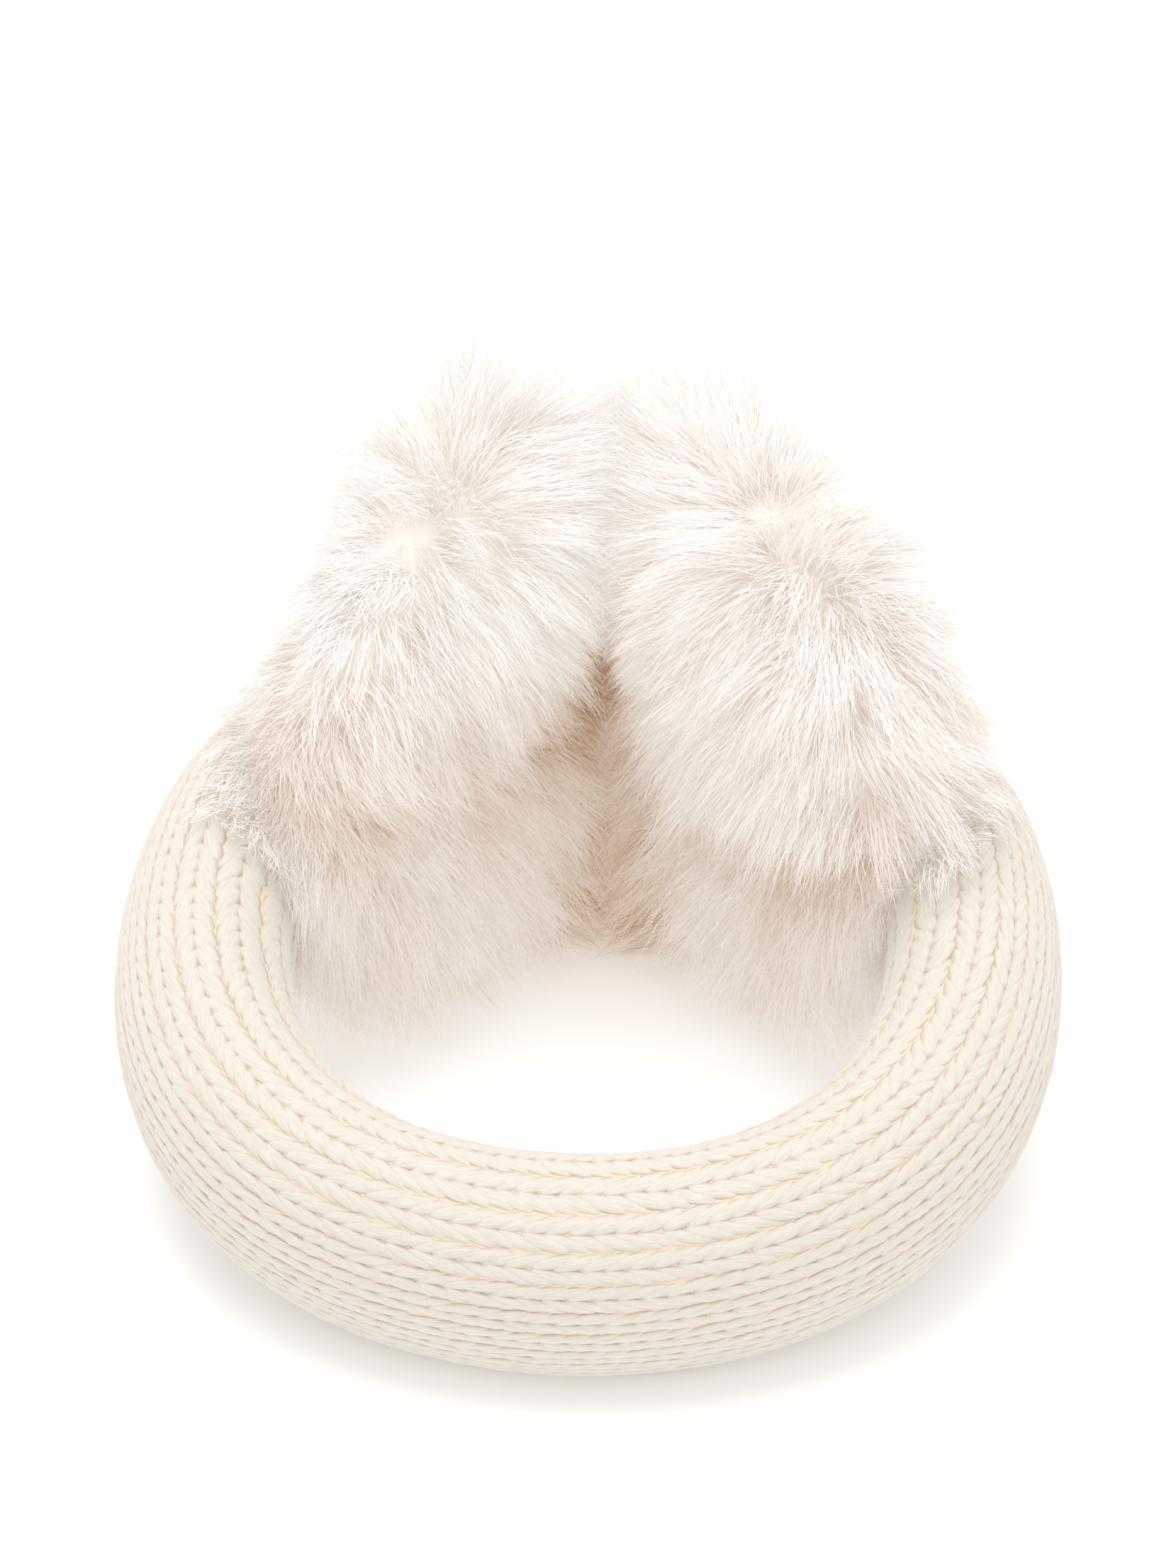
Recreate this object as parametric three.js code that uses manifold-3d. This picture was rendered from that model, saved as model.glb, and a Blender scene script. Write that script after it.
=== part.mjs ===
// Winter earmuffs: a padded knitted tube as the headband, with a deep-fur ear pad on each end.
// They lie on their side as laid down on a table: the crown of the band is in front, and the two
// pads stand on edge behind it, pressed together at the back and open in a V towards the crown.
// Millimetres. +Z is up, X runs from the left pad to the right one, Y from the crown to the pads.
import * as THREE from 'three';
import { mergeVertices } from 'three/addons/utils/BufferGeometryUtils.js';
import Module from 'manifold-3d';

const wasm = await Module();
wasm.setup();

const { degToRad, lerp, smoothstep } = THREE.MathUtils;

// Shared sizes
const gap = 0.3; // clearance between neighbouring pieces
const wide = 600; // a cutting block wider than anything here

// ---------------------------------------------------------------------------------------------
// Headband: a tube knitted in thick yarn and stuffed, with its wales running along it.
// Its centreline lies in one plane, which the pads lift at the back.
// ---------------------------------------------------------------------------------------------
const bandHalfSpan = 76.5; // centreline to the middle plane, at the widest
const crownReach = 76; // centreline, from the widest point forward to the crown
const armReach = 88; // the ellipse that the two arms follow behind the widest point
const crownFullness = 0.03; // how far the shoulders of the crown stand out of an ellipse
const bandEndAngle = degToRad(128); // where the tube is closed, inside the fur
const bandRise = degToRad(16); // slope of the band's plane
const crownHeight = 20.5; // centreline over the table, at the crown
const endCapLength = 12;
const ringSpacing = 13.5; // length of tube between two modelled sections

// Sections of the tube, from the crown (0) to its closed end (1)
const bandSections = [
  { along: 0.0, halfWidth: 19.7, halfHeight: 22.4 },
  { along: 0.35, halfWidth: 18.8, halfHeight: 22.6 },
  { along: 0.65, halfWidth: 17.5, halfHeight: 22.8 },
  { along: 0.85, halfWidth: 16.8, halfHeight: 22.2 },
  { along: 1.0, halfWidth: 14.5, halfHeight: 19.0 },
];

// The wales of the knitting are narrower round the outside of the bend than on its inside. Each
// has two cords of yarn, which meet in a groove, and a fine line between it and the next wale.
const waleCount = 16;
const waleCrowding = 0.53; // 0 would be even
const firstGroove = 0.36; // in wales, from the outermost line of the tube
const waleProfile = [
  { across: 0.0, depth: 1.5 },
  { across: 0.25, depth: 0.0 },
  { across: 0.5, depth: 0.7 },
  { across: 0.75, depth: 0.0 },
];

function waleTurn(wale) {
  const half = (Math.PI * wale) / waleCount;
  const inside = Math.sqrt(1 - waleCrowding) * Math.sin(half);
  const outside = Math.sqrt(1 + waleCrowding) * Math.cos(half);
  return 2 * Math.atan2(inside, outside);
}

const ribbedSides = Array.from({ length: waleCount }, (_, wale) => waleProfile.map((cord) => ({
  turn: waleTurn(wale + firstGroove + cord.across),
  depth: cord.depth,
}))).flat();
const seatSideCount = 24;
const seatSides = Array.from({ length: seatSideCount }, (_, i) => ({
  turn: (2 * Math.PI * i) / seatSideCount,
  depth: 0,
}));
const seatClearance = gap + bandSections[0].halfHeight * (1 - Math.cos(Math.PI / seatSideCount));

class BandLine extends THREE.Curve {
  getPoint(t, target = new THREE.Vector3()) {
    const angle = (2 * t - 1) * bandEndAngle;
    const inFront = Math.cos(angle) > 0;
    const reach = inFront ? crownReach : armReach;
    const full = inFront ? 1 + crownFullness * Math.sin(2 * angle) ** 2 : 1;
    return target.set(bandHalfSpan * Math.sin(angle) * full, -reach * Math.cos(angle) * full, 0);
  }
}
const bandLine = new BandLine();
const bandLength = bandLine.getLength();

// A point of the band's own plane, tipped up about the crown
function tipUp(x, y, z) {
  const back = y + crownReach;
  return new THREE.Vector3(
    x,
    back * Math.cos(bandRise) - z * Math.sin(bandRise) - crownReach,
    back * Math.sin(bandRise) + z * Math.cos(bandRise) + crownHeight,
  );
}

// A value of a table between its rows
function fromTable(rows, key, at, column) {
  const last = rows.findIndex((row) => row[key] >= at);
  const next = last < 0 ? rows.length - 1 : Math.max(last, 1);
  const a = rows[next - 1];
  const b = rows[next];
  return lerp(a[column], b[column], smoothstep(at, a[key], b[key]));
}

// Stations along the tube: evenly spaced, and closer together over the rounded ends
function bandStations() {
  const capAngles = [30, 60].map(degToRad);
  const inner = bandLength - 2 * endCapLength;
  const steps = Math.round(inner / ringSpacing);
  const stations = [];
  for (const angle of capAngles) {
    stations.push({ at: endCapLength * (1 - Math.cos(angle)), fill: Math.sin(angle) });
  }
  for (let i = 0; i <= steps; i += 1) {
    stations.push({ at: endCapLength + (inner * i) / steps, fill: 1 });
  }
  for (const angle of capAngles.reverse()) {
    stations.push({ at: bandLength - endCapLength * (1 - Math.cos(angle)), fill: Math.sin(angle) });
  }
  return stations;
}

// Six times the volume inside a closed surface: negative when its faces point inwards
function signedVolume(positions, index) {
  const corner = (i) => new THREE.Vector3().fromArray(positions, 3 * index[i]);
  let sum = 0;
  for (let i = 0; i < index.length; i += 3) {
    sum += corner(i).dot(corner(i + 1).cross(corner(i + 2)));
  }
  return sum;
}

// Rings of points and two end points as a closed surface with its faces pointing out
function closedSurface(start, rings, end) {
  const positions = [start, ...rings.flat(), end].flatMap((p) => [p.x, p.y, p.z]);
  const count = rings[0].length;
  const index = [];
  const vertex = (ring, i) => 1 + ring * count + (i % count);
  for (let i = 0; i < count; i += 1) {
    index.push(0, vertex(0, i + 1), vertex(0, i));
    for (let ring = 0; ring + 1 < rings.length; ring += 1) {
      const [a, b] = [vertex(ring, i), vertex(ring, i + 1)];
      const [c, d] = [vertex(ring + 1, i), vertex(ring + 1, i + 1)];
      index.push(a, b, c, b, d, c);
    }
    const lastRing = rings.length - 1;
    index.push(positions.length / 3 - 1, vertex(lastRing, i), vertex(lastRing, i + 1));
  }
  if (signedVolume(positions, index) < 0) index.reverse();
  const geometry = new THREE.BufferGeometry();
  geometry.setAttribute('position', new THREE.Float32BufferAttribute(positions, 3));
  geometry.setIndex(index);
  geometry.computeVertexNormals();
  return geometry;
}

// The tube's surface with its wales, pressed flat on the table, or the plain seat for it in a
// pad, which stands clear of the yarn by grow
function bandSurface(sides, grow) {
  const onTable = (point) => point.setZ(grow > 0 ? point.z : Math.max(point.z, 0));
  const rings = [];
  for (const { at, fill } of bandStations()) {
    const u = at / bandLength;
    const centre = bandLine.getPointAt(u);
    const along = bandLine.getTangentAt(u);
    centre.addScaledVector(along, Math.sign(u - 0.5) * grow * Math.sqrt(1 - fill ** 2));
    const share = Math.abs(2 * u - 1);
    const halfWidth = fromTable(bandSections, 'along', share, 'halfWidth');
    const halfHeight = fromTable(bandSections, 'along', share, 'halfHeight');
    const ring = [];
    for (const { turn, depth } of sides) {
      const out = ((halfWidth - depth) * fill + grow) * Math.cos(turn);
      const up = ((halfHeight - depth) * fill + grow) * Math.sin(turn);
      ring.push(onTable(tipUp(centre.x + along.y * out, centre.y - along.x * out, up)));
    }
    rings.push(ring);
  }
  const ends = [0, 1].map((u) => {
    const tip = bandLine.getPointAt(u);
    tip.addScaledVector(bandLine.getTangentAt(u), Math.sign(u - 0.5) * grow);
    return onTable(tipUp(tip.x, tip.y, 0));
  });
  return closedSurface(ends[0], rings, ends[1]);
}

// ---------------------------------------------------------------------------------------------
// Solids for joining and cutting
// ---------------------------------------------------------------------------------------------
function toSolid(geometry) {
  const bare = geometry.clone();
  bare.deleteAttribute('normal');
  bare.deleteAttribute('uv');
  const merged = mergeVertices(bare);
  const mesh = new wasm.Mesh({
    numProp: 3,
    vertProperties: new Float32Array(merged.getAttribute('position').array),
    triVerts: new Uint32Array(merged.getIndex().array),
  });
  return new wasm.Manifold(mesh);
}

function toGeometry(solid) {
  const mesh = solid.getMesh();
  const geometry = new THREE.BufferGeometry();
  geometry.setAttribute('position', new THREE.BufferAttribute(mesh.vertProperties, 3));
  geometry.setIndex(new THREE.BufferAttribute(mesh.triVerts, 1));
  geometry.computeVertexNormals();
  return geometry;
}

// ---------------------------------------------------------------------------------------------
// Ear pads: a stuffed disc covered in long fur, whose locks lie over each other. The band's end
// is sewn to the outer face, and the fur closes round it as a collar.
// ---------------------------------------------------------------------------------------------
const padCentre = { across: 31.5, back: 60, up: 63.5 };
const padTurn = degToRad(30); // in plan: the front edges spread apart
const padLean = degToRad(5); // the tops lean together
const backing = { radius: 67, halfDepth: 23, squareness: 2.6, around: 20, over: 8 };
const pressedGap = 0.25; // from each pad's pressed side to the middle plane

// Rows of locks over the disc, from the middle of its inner face (-90) over the rim (0) to the
// middle of its outer face (90). Falls is the side of the rim that a lock falls to.
const lockRows = [
  { latitude: -76, count: 3, falls: 0 },
  { latitude: -54, count: 8, falls: 0 },
  { latitude: -32, count: 13, falls: -0.5 },
  { latitude: -10, count: 14, falls: -0.3 },
  { latitude: 12, count: 14, falls: 0.3 },
  { latitude: 38, count: 12, falls: 0.2 },
  { latitude: 66, count: 6, falls: 0.2 },
];
const collar = { radius: 25, halfDepth: 23, squareness: 2.2, around: 12, over: 5 };
const collarShift = { inward: 4, back: 5 }; // from the band's end to the middle of the collar
const collarRows = [
  { latitude: -15, count: 7, falls: 0.4 },
  { latitude: 35, count: 5, falls: 0.4 },
];
// Angles of a lock are from upright, in degrees; sink is how deep its root sits in the disc
const lock = { length: 28, width: 21, height: 6, sink: 5, rises: 54, ends: 86 };
const lockShape = [
  { at: 0.0, full: 0.8 },
  { at: 0.5, full: 1.0 },
];
const droop = 0.5; // pull of gravity on the direction in which the locks lie

// Tufts that stand up out of the pile along the top of each pad, with places in degrees
const tuft = { rises: 34, ends: 66, falls: 0.3, droop: 0 };
const tufts = {
  left: [
    { latitude: 12, turn: 84, scale: 0.7 },
    { latitude: 4, turn: 94, scale: 0.95 },
    { latitude: 0, turn: 107, scale: 0.7 },
    { latitude: -14, turn: 124, scale: 0.6 },
  ],
  right: [
    { latitude: 26, turn: 30, scale: 0.8 },
    { latitude: -2, turn: 114, scale: 0.6 },
    { latitude: -16, turn: 126, scale: 0.65 },
  ],
};
const stray = { latitude: 5, place: 0.18, size: 0.15 }; // how unevenly the locks grow, at most
const padSeed = 40;
const collarSeed = 90;

// The same scatter each time, from -1 to 1
function scatter(seed) {
  const wave = Math.sin(seed * 12.9898) * 43758.5453;
  return 2 * (wave - Math.floor(wave)) - 1;
}

const signedPower = (value, power) => Math.sign(value) * Math.abs(value) ** power;

// A rounded disc: axis is its thickness, forward and upward span its plane
function disc(centre, axis, forward, upward, size) {
  const { radius, halfDepth, squareness } = size;
  const radial = (turn) => forward.clone().multiplyScalar(Math.cos(turn))
    .addScaledVector(upward, Math.sin(turn));
  const surface = (latitude, turn) => centre.clone()
    .addScaledVector(axis, halfDepth * signedPower(Math.sin(latitude), 2 / squareness))
    .addScaledVector(radial(turn), radius * signedPower(Math.cos(latitude), 2 / squareness));
  const normal = (latitude, turn) => {
    const along = signedPower(Math.sin(latitude), 2 - 2 / squareness) / halfDepth;
    const outward = signedPower(Math.cos(latitude), 2 - 2 / squareness) / radius;
    return radial(turn).multiplyScalar(outward).addScaledVector(axis, along).normalize();
  };
  return { surface, normal, radial };
}

function discSolid(shape, around, over) {
  const rings = [];
  for (let row = 1; row < over; row += 1) {
    const latitude = -Math.PI / 2 + (Math.PI * row) / over;
    const ring = [];
    for (let i = 0; i < around; i += 1) {
      ring.push(shape.surface(latitude, (2 * Math.PI * i) / around));
    }
    rings.push(ring);
  }
  const poles = [-Math.PI / 2, Math.PI / 2].map((latitude) => shape.surface(latitude, 0));
  return closedSurface(poles[0], rings, poles[1]);
}

// One lock: a flat strip with a ridge along its upper side. It rises out of the backing, widens,
// bends over and ends in a point that lies almost flat.
function lockSurface(root, upright, lean, scale, stance) {
  const sideways = new THREE.Vector3().crossVectors(upright, lean).normalize();
  const rises = degToRad(stance.rises);
  const bend = degToRad(stance.ends) - rises;
  const length = lock.length * scale;
  const heading = (at) => upright.clone().multiplyScalar(Math.cos(rises + bend * at))
    .addScaledVector(lean, Math.sin(rises + bend * at));
  const start = root.clone().addScaledVector(heading(0), -lock.sink);
  const point = (at) => start.clone()
    .addScaledVector(upright, (length * (Math.sin(rises + bend * at) - Math.sin(rises))) / bend)
    .addScaledVector(lean, (length * (Math.cos(rises) - Math.cos(rises + bend * at))) / bend);
  const rings = lockShape.map(({ at, full }) => {
    const ridge = new THREE.Vector3().crossVectors(sideways, heading(at)).normalize();
    const halfWidth = (full * lock.width * scale) / 2;
    const height = full * lock.height;
    return [-1, 0, 1].map((edge) => point(at)
      .addScaledVector(sideways, halfWidth * edge)
      .addScaledVector(ridge, edge === 0 ? height : 0));
  });
  return closedSurface(start, rings, point(1));
}

// A lock at a latitude and turn of a disc, in radians, falling along the axis and down
function lockOn(shape, axis, latitude, turn, scale, stance) {
  const root = shape.surface(latitude, turn);
  const upright = shape.normal(latitude, turn);
  const lean = shape.radial(turn).addScaledVector(axis, stance.falls);
  lean.z -= stance.droop;
  lean.addScaledVector(upright, -lean.dot(upright)).normalize();
  return lockSurface(root, upright, lean, scale, stance);
}

function locksOn(shape, axis, rows, seed) {
  return rows.flatMap(({ latitude, count, falls }, row) => {
    const locks = [];
    for (let i = 0; i < count; i += 1) {
      const key = seed + 17 * row + 3.7 * i;
      const at = degToRad(latitude + stray.latitude * scatter(key));
      const place = i + 0.5 * (row % 2) + stray.place * scatter(key + 1);
      const turn = (2 * Math.PI * place) / count;
      const scale = 1 + stray.size * scatter(key + 2);
      locks.push(lockOn(shape, axis, at, turn, scale, { ...lock, falls, droop }));
    }
    return locks;
  });
}

function earPad(side) {
  const axis = new THREE.Vector3(
    side * Math.cos(padTurn) * Math.cos(padLean),
    Math.sin(padTurn) * Math.cos(padLean),
    Math.sin(padLean),
  );
  const forward = new THREE.Vector3(side * Math.sin(padTurn), -Math.cos(padTurn), 0);
  const upward = new THREE.Vector3().crossVectors(forward, axis).multiplyScalar(side);
  if (upward.z < 0) upward.negate();
  const centre = new THREE.Vector3(side * padCentre.across, padCentre.back, padCentre.up);
  const shape = disc(centre, axis, forward, upward, backing);
  const parts = [discSolid(shape, backing.around, backing.over)];
  parts.push(...locksOn(shape, axis, lockRows, padSeed + side));
  for (const { latitude, turn, scale } of side < 0 ? tufts.left : tufts.right) {
    parts.push(lockOn(shape, axis, degToRad(latitude), degToRad(turn), scale, tuft));
  }

  const end = bandLine.getPointAt(side < 0 ? 0 : 1);
  const collarCentre = tipUp(end.x, end.y, 0)
    .addScaledVector(axis, -collarShift.inward)
    .addScaledVector(forward, -collarShift.back);
  const bulge = disc(collarCentre, axis, forward, upward, collar);
  parts.push(discSolid(bulge, collar.around, collar.over));
  parts.push(...locksOn(bulge, axis, collarRows, collarSeed + side));
  const whole = parts.map(toSolid).reduce((joined, part) => joined.add(part));

  const otherSide = new THREE.BoxGeometry(wide, wide, wide);
  otherSide.translate(side * (pressedGap - wide / 2), 0, 0);
  const table = new THREE.BoxGeometry(wide, wide, wide).translate(0, 0, -wide / 2);
  const cuts = [otherSide, table, bandSurface(seatSides, seatClearance)];
  const cut = cuts.map(toSolid).reduce((left, tool) => left.subtract(tool), whole);
  return toGeometry(largestPiece(cut));
}

// Drops the crumbs that a cut leaves of locks
function largestPiece(solid) {
  return solid.decompose().reduce((a, b) => (a.volume() > b.volume() ? a : b));
}

// ---------------------------------------------------------------------------------------------
// The earmuffs, moved so that they stand on z = 0 with their middle over the origin
// ---------------------------------------------------------------------------------------------
const knit = { color: 0xf1ebdc, roughness: 0.95, metalness: 0 };
const fur = { color: 0xeee6dd, roughness: 1, metalness: 0 };

function piece(name, geometry, finish) {
  const mesh = new THREE.Mesh(geometry, new THREE.MeshStandardMaterial(finish));
  mesh.name = name;
  return mesh;
}

const earmuffs = new THREE.Group();
earmuffs.add(
  piece('knit_headband', bandSurface(ribbedSides, 0), knit),
  piece('left_ear_pad', earPad(-1), fur),
  piece('right_ear_pad', earPad(1), fur),
);
const size = new THREE.Box3().setFromObject(earmuffs);
const middle = size.getCenter(new THREE.Vector3());
earmuffs.position.set(-middle.x, -middle.y, -size.min.z);

export default earmuffs;
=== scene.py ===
import math

import bpy
import numpy as np
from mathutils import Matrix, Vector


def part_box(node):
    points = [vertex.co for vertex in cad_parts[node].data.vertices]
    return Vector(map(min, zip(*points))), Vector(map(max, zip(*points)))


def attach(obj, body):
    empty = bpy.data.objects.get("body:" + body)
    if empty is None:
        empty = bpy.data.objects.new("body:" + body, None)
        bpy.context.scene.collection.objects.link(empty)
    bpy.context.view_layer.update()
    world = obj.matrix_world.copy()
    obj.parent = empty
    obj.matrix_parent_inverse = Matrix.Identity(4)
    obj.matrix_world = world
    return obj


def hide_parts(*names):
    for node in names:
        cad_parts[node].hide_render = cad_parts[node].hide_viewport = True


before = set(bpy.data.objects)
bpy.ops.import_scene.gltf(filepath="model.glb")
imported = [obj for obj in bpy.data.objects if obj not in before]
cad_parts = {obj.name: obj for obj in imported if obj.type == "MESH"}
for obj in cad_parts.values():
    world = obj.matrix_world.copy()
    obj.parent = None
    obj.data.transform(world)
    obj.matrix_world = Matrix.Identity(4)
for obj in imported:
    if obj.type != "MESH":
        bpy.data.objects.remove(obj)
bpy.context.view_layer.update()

# --- Headband: padding --------------------------------------------------------------------------
# A soft tube of wadding, bent round the head and sprung together at its ends. The knitting is
# drawn over it, so it only shows as a warm tan at the bottom of the gaps between stitches.
band_half_span = 0.0765  # centreline to the middle plane, at the widest
crown_reach = 0.076  # centreline, from the widest point forward to the crown
arm_reach = 0.088  # the same backward, to where the two arms would meet
crown_fullness = 0.03  # how much the bend at the front bulges beyond an ellipse
band_end_angle = math.radians(128)  # where the tube is closed, inside the fur
band_rise = math.radians(16)  # the pads lift the band's plane
crown_height = 0.0205  # centreline above the table
section_along = np.array([0.0, 0.35, 0.65, 0.85, 1.0])  # from the crown to a closed end
section_half_width = np.array([0.0197, 0.0188, 0.0175, 0.0168, 0.0145])
section_half_height = np.array([0.0224, 0.0226, 0.0228, 0.0222, 0.0190])
end_cap = 0.012  # length of the rounding at a closed end
yarn_depth = 0.00025  # from the padding to the outside of the stitches
padding_above_table = 0.0006
crown_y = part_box("knit_headband")[0].y + section_half_width[0]


def unit(v):
    return v / np.maximum(np.linalg.norm(v, axis=-1, keepdims=True), 1e-12)


def band_plane_line(angle):
    """The tube's centreline in the band's own plane, at an angle from the crown."""
    in_front = np.cos(angle) > 0
    reach = np.where(in_front, crown_reach, arm_reach)
    full = np.where(in_front, 1 + crown_fullness * np.sin(2 * angle) ** 2, 1.0)
    return np.stack([band_half_span * np.sin(angle) * full, -reach * np.cos(angle) * full], -1)


def band_heading(angle):
    return unit(band_plane_line(angle + 1e-4) - band_plane_line(angle - 1e-4))


fine_angles = np.linspace(-band_end_angle, band_end_angle, 4001)
fine_steps = np.linalg.norm(np.diff(band_plane_line(fine_angles), axis=0), axis=1)
fine_along = np.concatenate([[0.0], np.cumsum(fine_steps)])
band_length = fine_along[-1]


def band_section(along):
    """The tube's half width and half height at a distance along it, and the share of both that is
    left in the rounding of its ends."""
    from_crown = np.abs(2 * along / band_length - 1)
    from_end = np.clip(np.minimum(along, band_length - along) / end_cap, 0, 1)
    return (np.interp(from_crown, section_along, section_half_width),
            np.interp(from_crown, section_along, section_half_height),
            np.sqrt(1 - (1 - from_end) ** 2))


def tipped_up(x, y, z):
    """A direction in the band's own plane, as the band lies on the table."""
    return np.stack([x, y * math.cos(band_rise) - z * math.sin(band_rise),
                     y * math.sin(band_rise) + z * math.cos(band_rise)], -1)


def laid_on_table(x, y, z):
    """A point in the band's own plane, as the band lies on the table."""
    return tipped_up(x, y + crown_reach, z) + np.array([0.0, crown_y, crown_height])


def band_surface(along, turn, lift):
    """Points at a distance along the tube and a turn round it (0 outwards, a quarter up), lifted
    off its outside, with the directions out of the tube there."""
    angle = np.interp(along, fine_along, fine_angles)
    centre, ahead = band_plane_line(angle), band_heading(angle)
    half_width, half_height, fill = band_section(along)
    out = (half_width * fill + lift) * np.cos(turn)
    up = (half_height * fill + lift) * np.sin(turn)
    point = laid_on_table(centre[..., 0] + ahead[..., 1] * out,
                          centre[..., 1] - ahead[..., 0] * out, up)
    steep_out, steep_up = np.cos(turn) / half_width, np.sin(turn) / half_height
    normal = unit(tipped_up(ahead[..., 1] * steep_out, -ahead[..., 0] * steep_out, steep_up))
    return point, normal


def mesh_piece(name, points, faces):
    """A piece from an array of points and an array of triangles."""
    mesh = bpy.data.meshes.new(name)
    mesh.vertices.add(len(points))
    mesh.vertices.foreach_set("co", points.astype(np.float32).ravel())
    mesh.loops.add(faces.size)
    mesh.loops.foreach_set("vertex_index", faces.astype(np.int32).ravel())
    mesh.polygons.add(len(faces))
    mesh.polygons.foreach_set("loop_start", np.arange(0, faces.size, 3, dtype=np.int32))
    mesh.update(calc_edges=True)
    mesh.polygons.foreach_set("use_smooth", np.ones(len(faces), bool))
    piece = bpy.data.objects.new(name, mesh)
    bpy.context.scene.collection.objects.link(piece)
    return piece


def repeated(faces, times, points_each):
    """The faces of one small shape, for an array of many such shapes in one mesh."""
    return (faces[None] + (np.arange(times) * points_each)[:, None, None]).reshape(-1, 3)


def tube_faces(tubes, rings, around):
    """Faces of closed tubes whose points come ring by ring. The first and the last ring are
    closed by fans onto their first point."""
    ring = np.arange(rings - 1)[:, None] * around
    i = np.arange(around)
    a = (ring + i).ravel()
    b = (ring + (i + 1) % around).ravel()
    j = np.arange(1, around - 1)
    one = np.concatenate([
        np.stack([a, b, b + around], -1),
        np.stack([a, b + around, a + around], -1),
        np.stack([np.zeros_like(j), j + 1, j], -1),
        np.stack([np.zeros_like(j), j, j + 1], -1) + (rings - 1) * around,
    ])
    return repeated(one, tubes, rings * around)


def matt_material(name, roughness, gloss):
    """A new material, with its nodes, its links and its shader."""
    material = bpy.data.materials.new(name)
    material.use_nodes = True
    nodes, links = material.node_tree.nodes, material.node_tree.links
    shader = nodes["Principled BSDF"]
    shader.inputs["Roughness"].default_value = roughness
    shader.inputs["Specular IOR Level"].default_value = gloss
    return material, nodes, links, shader


def noise_node(nodes, scale, detail):
    noise = nodes.new("ShaderNodeTexNoise")
    noise.inputs["Scale"].default_value = scale
    noise.inputs["Detail"].default_value = detail
    return noise


def colour_ramp(nodes, *stops):
    """A ramp through two or more stops, each a place from 0 to 1 and a colour."""
    ramp = nodes.new("ShaderNodeValToRGB")
    elements = ramp.color_ramp.elements
    for element, (place, colour) in zip(list(elements), (stops[0], stops[-1])):
        element.position = place
        element.color = (*colour, 1)
    for place, colour in stops[1:-1]:
        elements.new(place).color = (*colour, 1)
    return ramp


def mottled_material(name, roughness, scale, detail, dark, pale):
    """A matt cloth, finely mottled between two colours."""
    material, nodes, links, shader = matt_material(name, roughness, gloss=0.1)
    coordinate = nodes.new("ShaderNodeTexCoord")
    noise = noise_node(nodes, scale, detail)
    mottle = colour_ramp(nodes, (0.0, dark), (1.0, pale))
    links.new(coordinate.outputs["Object"], noise.inputs["Vector"])
    links.new(noise.outputs["Fac"], mottle.inputs["Fac"])
    links.new(mottle.outputs["Color"], shader.inputs["Base Color"])
    return material


padding_rings, padding_around = 97, 40
padding_from_end = 0.0004
along, turn = np.meshgrid(np.linspace(padding_from_end, band_length - padding_from_end, padding_rings),
                          np.linspace(0, 2 * np.pi, padding_around, endpoint=False), indexing="ij")
points = band_surface(along, turn, -yarn_depth)[0].reshape(-1, 3)
points[:, 2] = np.maximum(points[:, 2], padding_above_table)
padding = mesh_piece("headband_padding", points, tube_faces(1, padding_rings, padding_around))
wadding = mottled_material("wadding", roughness=1.0, scale=420.0, detail=4.0,
                           dark=(0.68, 0.53, 0.35), pale=(0.79, 0.66, 0.48))
padding.data.materials.append(wadding)
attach(padding, "root")
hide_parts("knit_headband")

# --- Headband: knitting -------------------------------------------------------------------------
# Thick cream yarn, knitted as a tube in stocking stitch. Each stitch is a V of two legs, whose
# tips go in under the next V, and the Vs stack up in wales along the tube. Bending the tube
# stretches the stitches of its outer side long and narrow, and the inner ones wide.
wale_count = 16
course = 0.0040  # length of a stitch, on the tube's centreline
first_row = 0.002  # from the tube's end
crowding = 0.53  # of the wales to the outside of the bend: 0 would be even
wale_phase = 0.36  # in wales, from the outermost line of the tube to the first one's middle
leg_stations = np.array([0.0, 0.14, 0.36, 0.6, 0.84, 1.0])  # from its root to its tip
leg_fullness = np.array([0.6, 0.92, 1.0, 1.0, 0.86, 0.4])
leg_around = 7  # points round a leg
leg_span = 2.2  # stitches from root to tip, so that each covers the root of the next
leg_root, leg_slant = 0.07, 0.35  # in wales, from a wale's middle to a root, and on to a tip
leg_thickness = 0.00095
leg_lift = -0.00095  # a leg's middle line, from the tube's outside
leg_arch = 0.00020  # how much its middle stands up
root_over = 0.00015  # how much higher its root lies than its tip
row_wander, wale_wander, lift_wander = 0.06, 0.012, 0.00005  # looseness, in rows, wales and metres
cord_share = 0.234  # of a wale's width, half the width of a leg
arm_cord_share = 0.255  # the same along the arms
crown_part, arm_part = 0.2, 0.8  # where the one share ends and the other begins, from the crown


def wale_turn(wale):
    """The turn round the tube at which a wale lies, closer together outside the bend."""
    half = math.pi * wale / wale_count
    return 2 * np.arctan2(math.sqrt(1 - crowding) * np.sin(half),
                          math.sqrt(1 + crowding) * np.cos(half))


def point_values(piece, name, values):
    """Give each point of a piece a value, which its material reads by name."""
    attribute = piece.data.attributes.new(name, "FLOAT", "POINT")
    attribute.data.foreach_set("value", values.astype(np.float32).ravel())


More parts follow.
